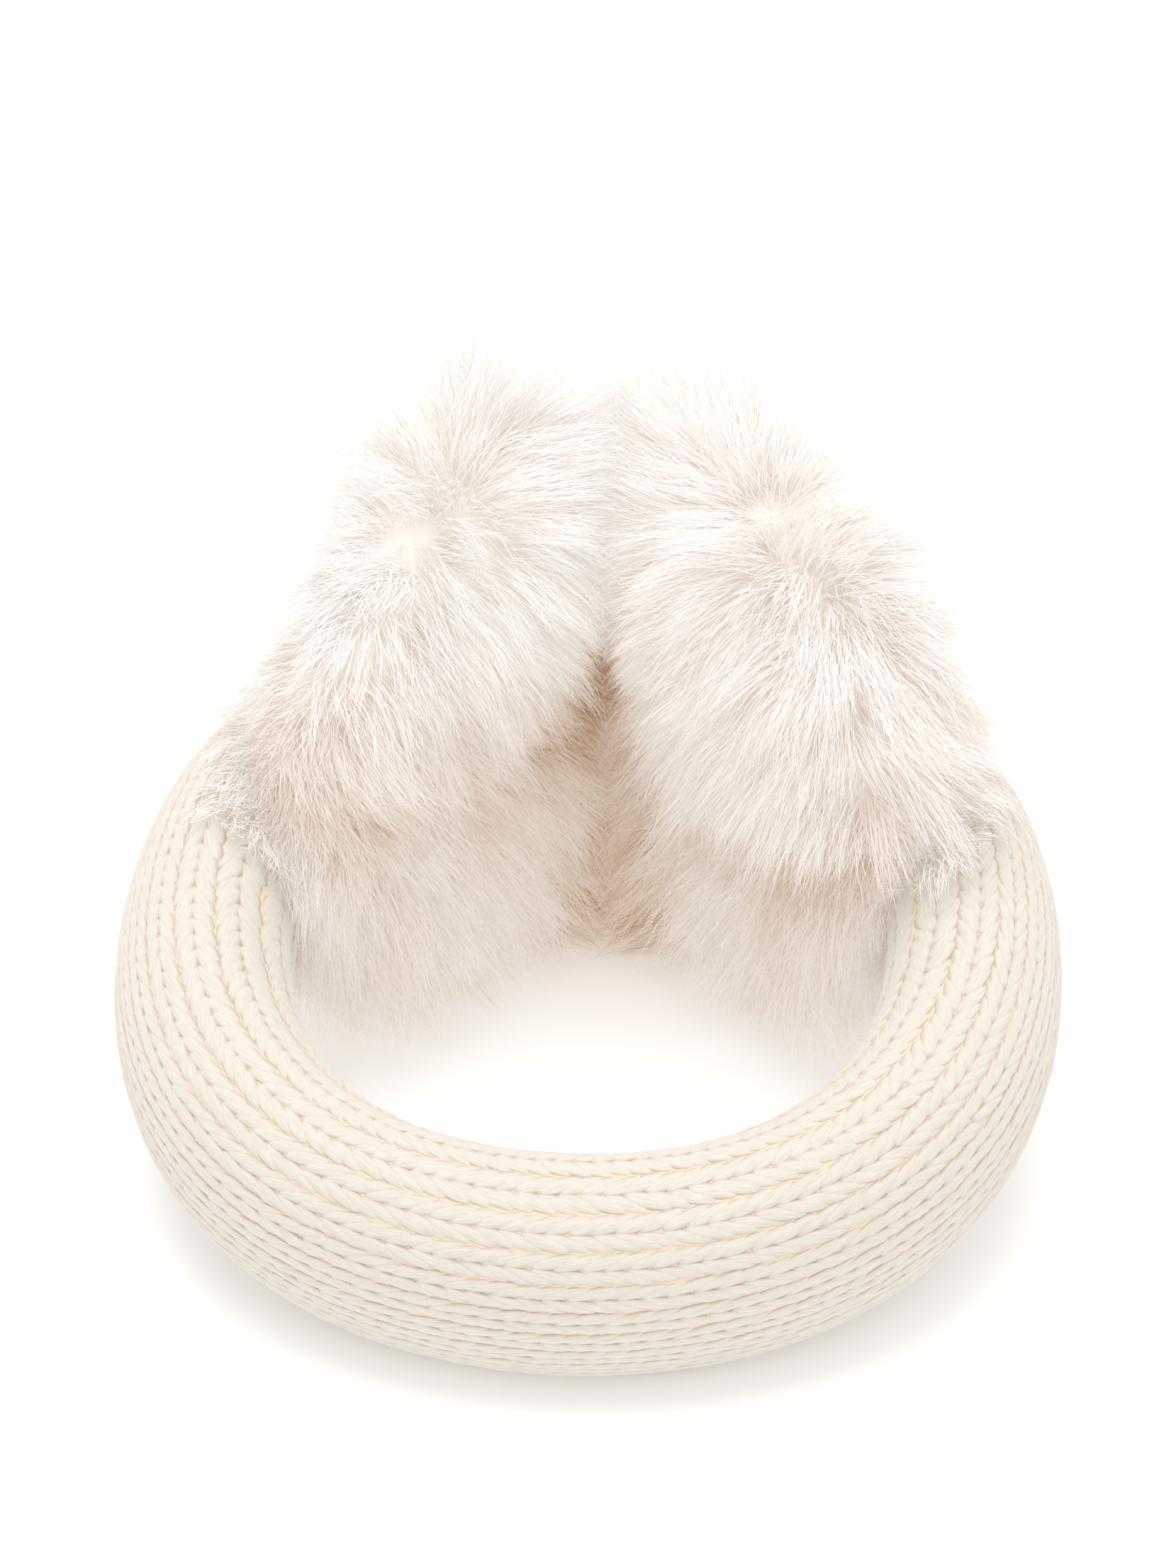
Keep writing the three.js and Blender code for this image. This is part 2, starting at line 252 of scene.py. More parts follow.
def yarn_legs(name, side, seed):
    """All the legs on one side of the wales: side is 1 for the legs that slant up, -1 for those
    that slant down."""
    draw = np.random.default_rng(seed)
    rows = int((band_length - 2 * first_row) / course)
    row, wale = np.meshgrid(np.arange(rows), np.arange(wale_count), indexing="ij")
    row, wale = row.reshape(-1, 1), wale.reshape(-1, 1)
    count = len(row)
    loose = draw.normal(0, 1, (3, count, 1))
    t = leg_stations[None]
    rows_along = row + row_wander * loose[0] + 0.5 * (wale % 2) + leg_span * (t - 0.2)
    along = np.clip(first_row + rows_along * course, 0.001, band_length - 0.001)
    across = wale + wale_phase + side * (leg_root + leg_slant * t) + wale_wander * loose[1]
    lift = (leg_lift + leg_arch * np.sin(np.pi * t) ** 0.7 + root_over * (1 - t)
            + lift_wander * loose[2])
    spine, normal = band_surface(along, wale_turn(across), lift)
    sideways = unit(np.cross(unit(np.gradient(spine, axis=1)), normal))
    beside = band_surface(along, wale_turn(across + side * 0.1), lift)[0]
    wale_width = 10 * np.linalg.norm(beside - spine, axis=-1)
    from_crown = np.abs(2 * along / band_length - 1)
    share = np.interp(from_crown, [crown_part, arm_part], [cord_share, arm_cord_share])
    half_width = share * wale_width * leg_fullness
    half_height = leg_thickness * leg_fullness[None] ** 0.5
    bend = np.linspace(0, 2 * np.pi, leg_around, endpoint=False)
    points = (spine[:, :, None]
              + sideways[:, :, None] * (half_width[..., None] * np.cos(bend))[..., None]
              + normal[:, :, None] * (half_height[..., None] * np.sin(bend))[..., None])
    points[..., 2] = np.maximum(points[..., 2], 0.0)
    piece = mesh_piece(name, points.reshape(-1, 3),
                       tube_faces(count, len(leg_stations), leg_around))
    every_point = points.shape[:3]
    point_values(piece, "outward", np.broadcast_to(np.sin(bend), every_point))
    shift = np.repeat(draw.random(count), len(leg_stations) * leg_around)
    length_on_leg = np.broadcast_to(t[:, :, None], every_point).ravel()
    around_leg = np.broadcast_to(bend / (2 * np.pi), every_point).ravel()
    loop_points = np.empty(len(piece.data.loops), np.int32)
    piece.data.loops.foreach_get("vertex_index", loop_points)
    uv = np.stack([length_on_leg + 7 * shift, around_leg + shift], -1)[loop_points]
    yarn_map = piece.data.uv_layers.new(name="yarn")
    yarn_map.data.foreach_set("uv", uv.astype(np.float32).ravel())
    return piece


yarn, nodes, links, shader = matt_material("cream yarn", roughness=0.9, gloss=0.2)
shader.inputs["Sheen Weight"].default_value = 0.25
shader.inputs["Sheen Roughness"].default_value = 0.6
along_yarn = nodes.new("ShaderNodeUVMap")
along_yarn.uv_map = "yarn"
stretch = nodes.new("ShaderNodeMapping")
stretch.inputs["Rotation"].default_value = (0, 0, 0.18)  # the fibres' twist
stretch.inputs["Scale"].default_value = (3.0, 26.0, 1.0)  # fibres on a leg, along and round it
fibres = noise_node(nodes, scale=1.0, detail=3.0)
shade = colour_ramp(nodes, (0.3, (0.572, 0.523, 0.458)), (0.62, (0.634, 0.597, 0.537)))
relief = nodes.new("ShaderNodeBump")
relief.inputs["Strength"].default_value = 0.3
relief.inputs["Distance"].default_value = 0.00035
outward = nodes.new("ShaderNodeAttribute")
outward.attribute_name = "outward"
# painted shade: a warm gold tint down in the gaps, on the sides and undersides of the legs, and none
# on their tops
gap_shade = colour_ramp(nodes, (0.0, (0.80, 0.57, 0.31)), (0.75, (1.0, 1.0, 1.0)))
tinted = nodes.new("ShaderNodeMix")
tinted.data_type = "RGBA"
tinted.blend_type = "MULTIPLY"
tinted.inputs["Factor"].default_value = 1.0
links.new(along_yarn.outputs["UV"], stretch.inputs["Vector"])
links.new(stretch.outputs["Vector"], fibres.inputs["Vector"])
links.new(fibres.outputs["Fac"], shade.inputs["Fac"])
links.new(outward.outputs["Fac"], gap_shade.inputs["Fac"])
links.new(shade.outputs["Color"], tinted.inputs["A"])
links.new(gap_shade.outputs["Color"], tinted.inputs["B"])
links.new(tinted.outputs["Result"], shader.inputs["Base Color"])
links.new(fibres.outputs["Fac"], relief.inputs["Height"])
links.new(relief.outputs["Normal"], shader.inputs["Normal"])
for name, side, seed in (("knit_rising_legs", 1, 11), ("knit_falling_legs", -1, 12)):
    legs = yarn_legs(name, side, seed)
    legs.data.materials.append(yarn)
    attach(legs, "root")

# --- Ear pads: stuffing -------------------------------------------------------------------------
# Each pad is a thick round cushion sewn to an end of the band. All of it is under the fur, so
# its cloth has the pale tan of the hide that the fur grows from.
pad_across, pad_back, pad_up = 0.0315, 0.136, 0.0635  # pad's middle; back is from the crown
pad_turn, pad_lean = math.radians(30), math.radians(5)
cushion_radius, cushion_half_depth = 0.0600, 0.0180
cushion_squareness = 2.5  # of its section: 2 would be round
cushion_rings, cushion_around = 25, 64


def signed_power(value, power):
    return np.sign(value) * np.abs(value) ** power


class Pad:
    """Where an ear pad stands, and the shape of its cushion: side is -1 for the left, 1 for the
    right."""

    def __init__(self, side):
        self.side = side
        self.axis = np.array([
            side * math.cos(pad_turn) * math.cos(pad_lean),
            math.sin(pad_turn) * math.cos(pad_lean),
            math.sin(pad_lean),
        ])
        self.forward = np.array([side * math.sin(pad_turn), -math.cos(pad_turn), 0.0])
        self.upward = np.cross(self.forward, self.axis) * side
        self.upward *= np.sign(self.upward[2])
        self.centre = np.array([side * pad_across, crown_y + pad_back, pad_up])

    def surface(self, latitude, turn):
        """Points of the cushion, from its face to its back and round its rim, with the directions
        out of it."""
        power = 2 / cushion_squareness
        radial = self.forward * np.cos(turn)[..., None] + self.upward * np.sin(turn)[..., None]
        thick = cushion_half_depth * signed_power(np.sin(latitude), power)
        wide = cushion_radius * signed_power(np.cos(latitude), power)
        steep_thick = signed_power(np.sin(latitude), 2 - power) / cushion_half_depth
        steep_wide = signed_power(np.cos(latitude), 2 - power) / cushion_radius
        point = self.centre + self.axis * thick[..., None] + radial * wide[..., None]
        return point, unit(self.axis * steep_thick[..., None] + radial * steep_wide[..., None])

    def fullness(self, point):
        """How far a point lies from the cushion's middle: 1 on its surface."""
        offset = point - self.centre
        thick = offset @ self.axis
        wide = np.linalg.norm(offset - thick[..., None] * self.axis, axis=-1)
        power = cushion_squareness
        return ((np.abs(thick) / cushion_half_depth) ** power
                + (wide / cushion_radius) ** power) ** (1 / power)


backing = mottled_material("pad backing", roughness=0.95, scale=600.0, detail=2.0,
                           dark=(0.80, 0.755, 0.70), pale=(0.84, 0.80, 0.755))
pads = {"left": Pad(-1), "right": Pad(1)}
for name, pad in pads.items():
    latitude, turn = np.meshgrid(np.linspace(-1.566, 1.566, cushion_rings),
                                 np.linspace(0, 2 * np.pi, cushion_around, endpoint=False),
                                 indexing="ij")
    points = pad.surface(latitude, turn)[0].reshape(-1, 3)
    cushion = mesh_piece(f"{name}_pad_cushion", points,
                         tube_faces(1, cushion_rings, cushion_around))
    cushion.data.materials.append(backing)
    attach(cushion, "root")
    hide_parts(f"{name}_ear_pad")

# --- Ear pads: fur ------------------------------------------------------------------------------
# Long soft pile over a short dense undercoat. It stands up from the cushions, curls over at its
# tips and hangs in tiers, with tan roots and painted shade in the creases under them. Round each
# end of the band it makes a collar, which hides the seam between band and pad.
lock_radius = 0.0042  # round a lock's middle, how far out its hairs grow
longest = 1.7  # limit of the pile's length, in usual lengths
fur_top, top_margin = 0.153, 0.010  # no hair stands higher, and it flattens below that
meeting_plane = (-0.0055, 0.001)  # from the middle plane to where a hair meets the other pad
meeting_margin = 0.0025
table_gap, table_margin = 0.0002, 0.003
roots_from_band = 0.95  # a lock grows no nearer the band's middle, whose surface is at 1
collar_share = 14  # locks on the cushion for each one in the collar
collar_reach, collar_thinning = 0.05, 1.4  # along the band from its end, denser near the end
collar_fullness, collar_width = 1.12, 0.12  # where it grows, on the scale of the cushion's fullness
collar_depth = 0.0003  # of its roots in the knitting
covered_end = 0.008  # this much of the band's end is all in the fur
band_clearance = (0.0003, 0.0025)  # from the band to a hair that lies along it, at random
most_pushed = 0.005  # a hair that the band would push further isn't there
frizz = 0.0016  # how far the tip of a hair strays
tip_sag, tip_wander = 0.35, 0.5  # how strongly tips bend down, and each its own way
swirls = ((0.22, 0.035, 5), (0.35, 0.014, 6))  # strength, size and seed of the pile's disorder
comb_blend = 0.010  # over how far one combing direction passes into the next
# paleness added to a hair's own, which runs from 0.5 at its root to 1 at its tip: mottled at random,
# and painted light or shade where marked
lock_mottle, lower_mottle, hair_mottle = 0.04, 0.08, 0.045  # at random, by lock and by hair
# the crest is paler, partly to hide the roots at its partings and partly painted light, more on the
# left pad, whose top the lamps leave darker
crest_paleness_and_light = {"left": 0.25, "right": 0.15}
# painted light in the collar, where its hairs lie close on the band in shade; painted shade on the
# lower tier and on hairs laid along the band; a painted shadow along the hem by the table
collar_painted_light, lower_painted_shade, hem_painted_shadow, laid_painted_shade = 0.22, -0.08, -0.20, -0.12
# heights above the table at which parts of a pad's pile begin and are whole
lower_tier = (0.080, 0.040)
crest = (0.085, 0.105)
hem = (0.016, 0.004)
# how the pile is combed: places and directions
combing = {
    "left": (
        ((-0.028, 0.050, 0.122), (-0.5, 0.2, 0.8)),
        ((-0.019, 0.046, 0.122), (0.3, 0.4, 0.7)),
        ((-0.016, 0.042, 0.118), (0.8, -0.1, 0.1)),
        ((-0.018, 0.029, 0.103), (0.9, -0.2, -0.3)),
        ((-0.018, 0.027, 0.086), (0.6, -0.3, -0.6)),
        ((-0.030, 0.011, 0.102), (0.35, -0.3, -0.9)),
        ((-0.040, 0.001, 0.098), (-0.1, -0.3, -0.9)),
        ((-0.048, -0.003, 0.099), (-0.4, -0.3, -0.8)),
        ((-0.054, -0.003, 0.096), (-0.9, 0.0, -0.4)),
        ((-0.044, 0.010, 0.113), (-0.8, 0.0, -0.1)),
        ((-0.040, 0.027, 0.120), (-0.8, 0.2, 0.4)),
        ((-0.035, 0.015, 0.116), (-0.1, -0.6, 0.3)),
        ((-0.054, -0.010, 0.079), (0.6, -0.2, -0.3)),
        ((-0.044, -0.006, 0.072), (0.9, -0.2, -0.3)),
        ((-0.027, 0.015, 0.061), (0.8, -0.3, -0.4)),
        ((-0.017, 0.037, 0.042), (0.5, -0.3, -0.7)),
        ((-0.054, -0.010, 0.056), (-0.1, -0.3, -1.0)),
        ((-0.045, -0.002, 0.043), (0.2, -0.3, -0.9)),
        ((-0.032, 0.015, 0.034), (0.5, -0.3, -0.8)),
        ((-0.050, 0.050, 0.110), (-0.5, 0.4, -0.5)),
        ((-0.030, 0.075, 0.105), (-0.2, 0.8, -0.2)),
        ((-0.055, 0.060, 0.070), (-0.2, 0.2, -1.0)),
        ((-0.020, 0.095, 0.060), (0.0, 0.2, -1.0)),
        ((-0.045, 0.040, 0.020), (-0.3, 0.0, -0.9)),
        ((-0.018, 0.062, 0.012), (0.9, 0.0, -0.1)),
    ),
    "right": (
        ((0.015, 0.046, 0.119), (-0.6, 0.1, 0.3)),
        ((0.020, 0.048, 0.122), (0.0, 0.6, 0.5)),
        ((0.031, 0.032, 0.123), (0.4, 0.5, 0.4)),
        ((0.041, 0.019, 0.118), (0.9, 0.2, 0.2)),
        ((0.027, 0.022, 0.114), (-0.9, -0.1, 0.0)),
        ((0.023, 0.021, 0.104), (-0.9, -0.2, -0.1)),
        ((0.023, 0.020, 0.085), (-0.8, -0.3, -0.5)),
        ((0.036, 0.005, 0.100), (-0.6, -0.3, -0.7)),
        ((0.047, -0.004, 0.095), (-0.1, -0.3, -0.9)),
        ((0.054, 0.003, 0.102), (0.7, 0.0, -0.5)),
        ((0.059, -0.004, 0.089), (0.6, -0.1, -0.8)),
        ((0.049, -0.009, 0.079), (-0.1, -0.3, -1.0)),
        ((0.057, -0.011, 0.072), (0.4, -0.2, -0.9)),
        ((0.033, 0.006, 0.072), (-0.5, -0.3, -0.8)),
        ((0.024, 0.022, 0.049), (-0.6, -0.3, -0.6)),
        ((0.035, 0.007, 0.045), (-0.4, -0.3, -0.9)),
        ((0.047, -0.003, 0.040), (0.0, -0.3, -1.0)),
        ((0.056, -0.010, 0.053), (0.3, -0.2, -0.9)),
        ((0.050, 0.050, 0.110), (0.5, 0.4, -0.5)),
        ((0.030, 0.075, 0.105), (0.2, 0.8, -0.2)),
        ((0.055, 0.060, 0.070), (0.2, 0.2, -1.0)),
        ((0.020, 0.095, 0.060), (0.0, 0.2, -1.0)),
        ((0.045, 0.040, 0.020), (0.3, 0.0, -0.9)),
        ((0.018, 0.062, 0.012), (-0.9, 0.0, -0.1)),
    ),
}
# the creases in front: heights at distances from the middle plane, and how deep each crease is
creases = {
    "left": (
        (((0.0, 0.065), (0.011, 0.068), (0.025, 0.078), (0.040, 0.084), (0.064, 0.083)), 0.5),
        (((0.0, 0.049), (0.014, 0.056), (0.031, 0.063), (0.047, 0.068), (0.060, 0.071)), 0.8),
    ),
    "right": (
        (((0.0, 0.060), (0.017, 0.049), (0.042, 0.057), (0.065, 0.065)), 1.0),
    ),
}
crease_wander = 0.005  # how unevenly a crease runs
# what a crease does to the pile, from below it to above it
crease_across = np.array([-0.016, -0.007, 0.0, 0.006, 0.012, 0.020, 0.032])
crease_length = np.array([1.0, 0.85, 0.45, 0.6, 1.1, 1.15, 1.0])
crease_lean = np.radians([0.0, 6.0, 16.0, 8.0, 0.0, 0.0, 0.0])
crease_droop = np.array([0.0, 0.0, 0.0, 0.3, 0.8, 0.8, 0.0])
# painted shade just below and in the crease, where the tier above overhangs it, and a touch of painted
# light above it
crease_painted_shade = np.array([0.0, -0.15, -0.35, -0.15, 0.0, 0.05, 0.0])
# where the pile is longer or shorter, and painted lighter or darker: place, size, how much longer, and
# how much painted light (above 0) or painted shade (below 0); the dark crevice between the pads and
# the dark hollow under their arch are painted shade
pile_changes = (
    ((0.000, 0.040, 0.062), 0.008, -0.90, -0.65),
    ((0.000, 0.054, 0.062), 0.008, -0.90, -0.55),
    ((-0.010, 0.026, 0.066), 0.005, -0.60, -0.10),
    ((0.004, 0.033, 0.060), 0.006, -0.80, -0.35),
    ((-0.012, 0.028, 0.060), 0.006, -0.60, -0.20),
    ((0.000, 0.030, 0.032), 0.012, 0.40, -0.20),
    ((0.000, 0.058, 0.012), 0.012, 0.60, -0.95),
    ((-0.070, -0.012, 0.076), 0.010, -0.50, 0.05),
    ((-0.066, 0.005, 0.100), 0.013, -0.50, 0.00),
    ((-0.060, 0.020, 0.115), 0.012, -0.50, 0.00),
    ((-0.052, 0.038, 0.126), 0.010, 1.00, 0.00),
    ((-0.040, 0.048, 0.128), 0.009, 0.45, 0.00),
    ((-0.018, 0.058, 0.122), 0.012, 0.22, 0.00),
    ((0.002, 0.066, 0.116), 0.014, 0.60, 0.00),
    ((0.028, 0.055, 0.128), 0.012, 0.10, 0.00),
    ((0.070, 0.012, 0.100), 0.008, 0.40, 0.00),
    ((0.074, 0.006, 0.085), 0.010, 0.80, 0.00),
)
down = np.array([0.0, 0.0, -1.0])


def between(value, start, whole):
    """0 up to start, 1 from whole on, and evenly between them."""
    return np.clip((value - start) / (whole - start), 0, 1)


def soft_limit(value, edge):
    """value where it is over edge, and below that squeezed into what is left above zero."""
    return np.where(value > edge, value, edge * np.exp(np.minimum(value - edge, 0) / edge))


def scattered_on_cushion(count, draw):
    """Places spread evenly over a cushion: latitudes and turns."""
    fine = np.linspace(-1.57, 1.57, 4001)
    power = 2 / cushion_squareness
    thick = cushion_half_depth * signed_power(np.sin(fine), power)
    wide = cushion_radius * signed_power(np.cos(fine), power)
    travelled = np.concatenate([[0.0], np.cumsum(np.hypot(np.diff(thick), np.diff(wide)))])
    latitude = np.interp(draw.uniform(0, travelled[-1], 4 * count), travelled, fine)
    turn = draw.uniform(0, 2 * np.pi, 4 * count)
    chosen = draw.uniform(0, 1, 4 * count) < np.cos(latitude) ** power
    return latitude[chosen][:count], turn[chosen][:count]


def scattered_on_collar(pad, count, draw):
    """Points on the headband's end, just outside the cushion, where the fur folds over it, and
    on the round of its closed end, with the directions out of it."""
    tries = 40 * count
    from_end = collar_reach * draw.uniform(0, 1, tries) ** collar_thinning
    turn = draw.uniform(0, 2 * np.pi, tries)
    end, inwards = (0.0, 1.0) if pad.side < 0 else (band_length, -1.0)
    point, normal = band_surface(end + inwards * from_end, turn, -collar_depth)
    sides = band_surface(end + inwards * np.full(2, end_cap / 2), np.array([0.0, np.pi]), 0.0)[0]
    beyond = unit(band_surface(end + np.zeros(1), np.zeros(1), 0.0)[0] - sides.mean(0))
    rounded = np.clip(1 - from_end / end_cap, 0, 1)[:, None]
    normal = unit(normal * np.sqrt(1 - rounded ** 2) + beyond * rounded)
    fullness = pad.fullness(point)
    grows = ((np.abs(fullness - collar_fullness) < collar_width)
             | ((fullness > 1) & (from_end < covered_end)))
    return point[grows][:count], normal[grows][:count]


def clear_of_band(points, spare=0.0004):
    """Points that lie inside the headband, moved out to its surface and on by spare, and where
    each one lay, from 0 in the band's middle to 1 at its surface."""
    back = points[..., 1] - crown_y
    up = points[..., 2] - crown_height
    x = points[..., 0]
    y = back * math.cos(band_rise) + up * math.sin(band_rise) - crown_reach
    z = -back * math.sin(band_rise) + up * math.cos(band_rise)
    angle = np.arctan2(x / band_half_span, -y / np.where(y < 0, crown_reach, arm_reach))
    inside_length = np.abs(angle) < band_end_angle
    angle = np.clip(angle, -band_end_angle, band_end_angle)
    centre, ahead = band_plane_line(angle), band_heading(angle)
    out = (x - centre[..., 0]) * ahead[..., 1] - (y - centre[..., 1]) * ahead[..., 0]
    half_width, half_height, fill = band_section(np.interp(angle, fine_angles, fine_along))
    share_out = np.hypot(out / (half_width * fill + spare), z / (half_height * fill + spare))
    share_out = np.where(inside_length, share_out, 2.0)
    push = np.where(share_out < 1, 1 / np.maximum(share_out, 0.15), 1.0) - 1
    moved = laid_on_table(x + ahead[..., 1] * out * push, y - ahead[..., 0] * out * push,
                          z * (1 + push))
    return moved, share_out


def smooth_noise(points, size, seed):
    """A gentle wandering direction for each point, which changes over about size."""
    draw = np.random.default_rng(seed)
    total = np.zeros_like(points)
    for _ in range(6):
        wave = unit(draw.normal(0, 1, 3)) * (2 * np.pi / size) * draw.uniform(0.6, 1.3)
        total += unit(draw.normal(0, 1, 3)) * np.sin(points @ wave + draw.uniform(0, 6.3))[..., None]
    return total / 2.4


def fur_roots(pad, count, draw):
    """Where the locks grow, on the cushion and in the collar, the directions out of the skin
    there, and 1 for the locks in the collar."""
    root, normal = pad.surface(*scattered_on_cushion(count, draw))
    outside = clear_of_band(root)[1] > roots_from_band
    collar_root, collar_normal = scattered_on_collar(pad, count // collar_share, draw)
    in_collar = np.repeat([0.0, 1.0], [np.count_nonzero(outside), len(collar_root)])
    return (np.concatenate([root[outside], collar_root]),
            np.concatenate([normal[outside], collar_normal]), in_collar)


def combed(side_name, root, normal, in_collar):
    """The way that each lock falls. In the collar that is away from the pad, and down at the
    closed end of the band."""
    places = np.array([place for place, _ in combing[side_name]])
    directions = unit(np.array([direction for _, direction in combing[side_name]]))
    apart = np.sum((root[:, None] - places[None]) ** 2, -1)
    weight = 1 / (apart + comb_blend ** 2) ** 2
    fall = weight @ directions / weight.sum(1, keepdims=True)
    for strength, size, seed in swirls:
        fall += strength * smooth_noise(root, size, seed)
    fall += in_collar[:, None] * (unit(root - pads[side_name].centre) - 0.8 * fall)
    at_end = in_collar * np.clip(3 * normal[:, 1] - 0.6, 0, 2)
    return fall + at_end[:, None] * down


def hair_ribbons(name, spine, facing, width, paleness):
    """Flat tapered hairs from spines (hairs, points along, xyz), each turned to its facing."""
    count, steps = spine.shape[:2]
    sideways = unit(np.cross(unit(np.gradient(spine, axis=1)), facing))
    t = np.linspace(0, 1, steps)
    taper = width[:, None] * np.sqrt(1 - t[None] ** 1.5)
    left = spine - sideways * taper[..., None] / 2
    right = spine + sideways * taper[..., None] / 2
    edges = np.stack([left, right], 2)[:, :-1].reshape(count, -1, 3)
    points = np.concatenate([edges, spine[:, -1:]], 1)
    a = 2 * np.arange(steps - 2)
    one = np.concatenate([
        np.stack([a, a + 1, a + 3], -1),
        np.stack([a, a + 3, a + 2], -1),
        np.array([[2 * steps - 4, 2 * steps - 3, 2 * steps - 2]]),
    ])
    piece = mesh_piece(name, points.reshape(-1, 3), repeated(one, count, 2 * steps - 1))
    from_root = np.concatenate([np.repeat(t[:-1], 2), t[-1:]])
    point_values(piece, "paleness", 0.5 + 0.5 * from_root[None] + paleness[:, None])
    return piece


def lay_fur(name, side_name, locks, hairs, steps, width, length, root_lean, tip_lean, gather, seed):
    """One coat of a pad, in so many locks of so many hairs, each hair through so many points. The
    leans are in degrees from the way out of the skin, and gather is how far a lock closes
    towards its tip."""
    pad = pads[side_name]
    draw = np.random.default_rng(seed)
    root, normal, in_collar = fur_roots(pad, locks, draw)
    locks = len(root)
    height = root[:, 2]
    fall = combed(side_name, root, normal, in_collar)

    # how long each lock is, and how far it leans over at its root and at its tip
    size = length * np.clip(draw.normal(1, 0.09, locks), 0.75, 1.25) * (1 - 0.25 * in_collar)
    root_lean = np.radians(np.clip(draw.normal(root_lean, 6, locks) + 15 * in_collar, 5, 75))
    along_skin = fall - normal * np.sum(fall * normal, -1)[:, None]
    flatness = np.clip(1.3 * np.linalg.norm(along_skin, axis=-1), 0.25, 1)
    tip_lean = np.radians(tip_lean) * flatness

    # how pale it is: mottled at random, paler on the crest, with painted light there and in the
    # collar, painted shade on the lower tier and a painted shadow at the hem
    low = between(height, *lower_tier) * (1 - in_collar)
    paleness = (draw.normal(0, 1, locks) * (lock_mottle + lower_mottle * low)
                + lower_painted_shade * low + hem_painted_shadow * between(height, *hem)
                + crest_paleness_and_light[side_name] * between(height, *crest) + collar_painted_light * in_collar)

    # what the creases in front change: the pile's length and lean, and painted shade under each tier
    in_front = between(normal[:, 1], 0.3, -0.3) * (1 - in_collar)
    wander = crease_wander * smooth_noise(root, 0.018, 7)[:, 2]
    for heights, depth in creases[side_name]:
        across, crease_height = np.array(heights).T
        above = height - np.interp(np.abs(root[:, 0]), across, crease_height) + wander
        amount = depth * in_front
        size *= 1 + amount * (np.interp(above, crease_across, crease_length) - 1)
        root_lean += amount * np.interp(above, crease_across, crease_lean)
        fall += (amount * np.interp(above, crease_across, crease_droop))[:, None] * down
        paleness += amount * np.interp(above, crease_across, crease_painted_shade)
    fall -= normal * np.sum(fall * normal, -1)[:, None]
    fall = unit(unit(fall) + 0.16 * draw.normal(0, 1, fall.shape))

    # what the places where the pile changes do to the locks that pass them: their length, and painted
    # shade or light
    for place, reach, longer, painted_light_and_shade in pile_changes:
        passing = [root + fall * (share * size)[:, None] for share in (0.0, 0.4, 0.8)]
        nearest = np.min([np.sum((point - np.array(place)) ** 2, -1) for point in passing], 0)
        near = np.exp(-nearest / (2 * reach ** 2))
        size *= 1 + longer * near
        paleness += painted_light_and_shade * near
    size = np.minimum(size, longest * length)

    # the middle line of each lock
    t = np.linspace(0, 1, steps)
    lean = root_lean[:, None] + np.maximum(tip_lean - root_lean, 0)[:, None] * t ** 1.2
    heading = unit(normal[:, None] * np.cos(lean)[..., None] + fall[:, None] * np.sin(lean)[..., None]
                   + down * (tip_sag * t ** 1.5)[:, None]
                   + tip_wander * smooth_noise(root, 0.010, 9)[:, None] * t[:, None] ** 2)
    moves = (heading[:, 1:] + heading[:, :-1]) / 2 * size[:, None, None] / (steps - 1)
    middle = np.concatenate([np.zeros((locks, 1, 3)), np.cumsum(moves, 1)], 1)

    # its hairs, round that line
    lock = np.repeat(np.arange(locks), hairs)
    spread = lock_radius * np.sqrt(draw.uniform(0, 1, len(lock)))
    where = draw.uniform(0, 2 * np.pi, len(lock))
    side = unit(np.cross(normal, fall))
    offset = (side[lock] * (spread * np.cos(where))[:, None]
              + fall[lock] * (spread * np.sin(where))[:, None])
    closing = 1 - (gather + 0.25 * low[lock])[:, None] * t ** 1.3
    scale = np.clip(draw.normal(0.95, 0.12, len(lock)), 0.5, 1.25)
    strays = frizz * (1 - 0.5 * in_collar + 0.5 * low)
    stray = draw.normal(0, 1, (len(lock), 3)) * strays[lock][:, None]
    spine = (root[lock][:, None] + middle[lock] * scale[:, None, None]
             + offset[:, None] * closing[..., None] + stray[:, None] * t[:, None] ** 1.5)

    # held off the band, the other pad, the table and the top
    clear, _ = clear_of_band(spine, draw.uniform(*band_clearance, len(lock))[:, None])
    free = np.max(np.linalg.norm(clear - spine, axis=-1), 1) < most_pushed
    pushed = np.sum(clear - spine, 1)[free]
    spine, lock = clear[free], lock[free]
    meet = draw.uniform(*meeting_plane, len(lock))[:, None]
    spine[..., 0] = pad.side * (meet + soft_limit(pad.side * spine[..., 0] - meet, meeting_margin))
    spine[..., 2] = table_gap + soft_limit(spine[..., 2], table_margin)
    spine[..., 2] = fur_top - soft_limit(fur_top - spine[..., 2], top_margin)

    # a hair that lies along the band faces away from it, and gets painted shade
    push = np.linalg.norm(pushed, axis=-1, keepdims=True)
    facing = unit(normal[lock] + 0.14 * draw.normal(0, 1, (len(lock), 3))
                  + 0.08 * draw.normal(0, 1, (locks, 3))[lock]
                  + np.minimum(push / 0.001, 3) * unit(pushed))
    paleness = (paleness[lock] + draw.normal(0, hair_mottle, len(lock))
                + laid_painted_shade * between(push[:, 0], 0.0, 0.004))
    return hair_ribbons(name, spine, facing[:, None], width * draw.uniform(0.7, 1.2, len(lock)),
                        paleness)


fur, nodes, links, shader = matt_material("long fur", roughness=0.7, gloss=0.3)
see_through = nodes.new("ShaderNodeBsdfTranslucent")
both = nodes.new("ShaderNodeMixShader")
both.inputs["Fac"].default_value = 0.22
from_root = nodes.new("ShaderNodeAttribute")
from_root.attribute_name = "paleness"
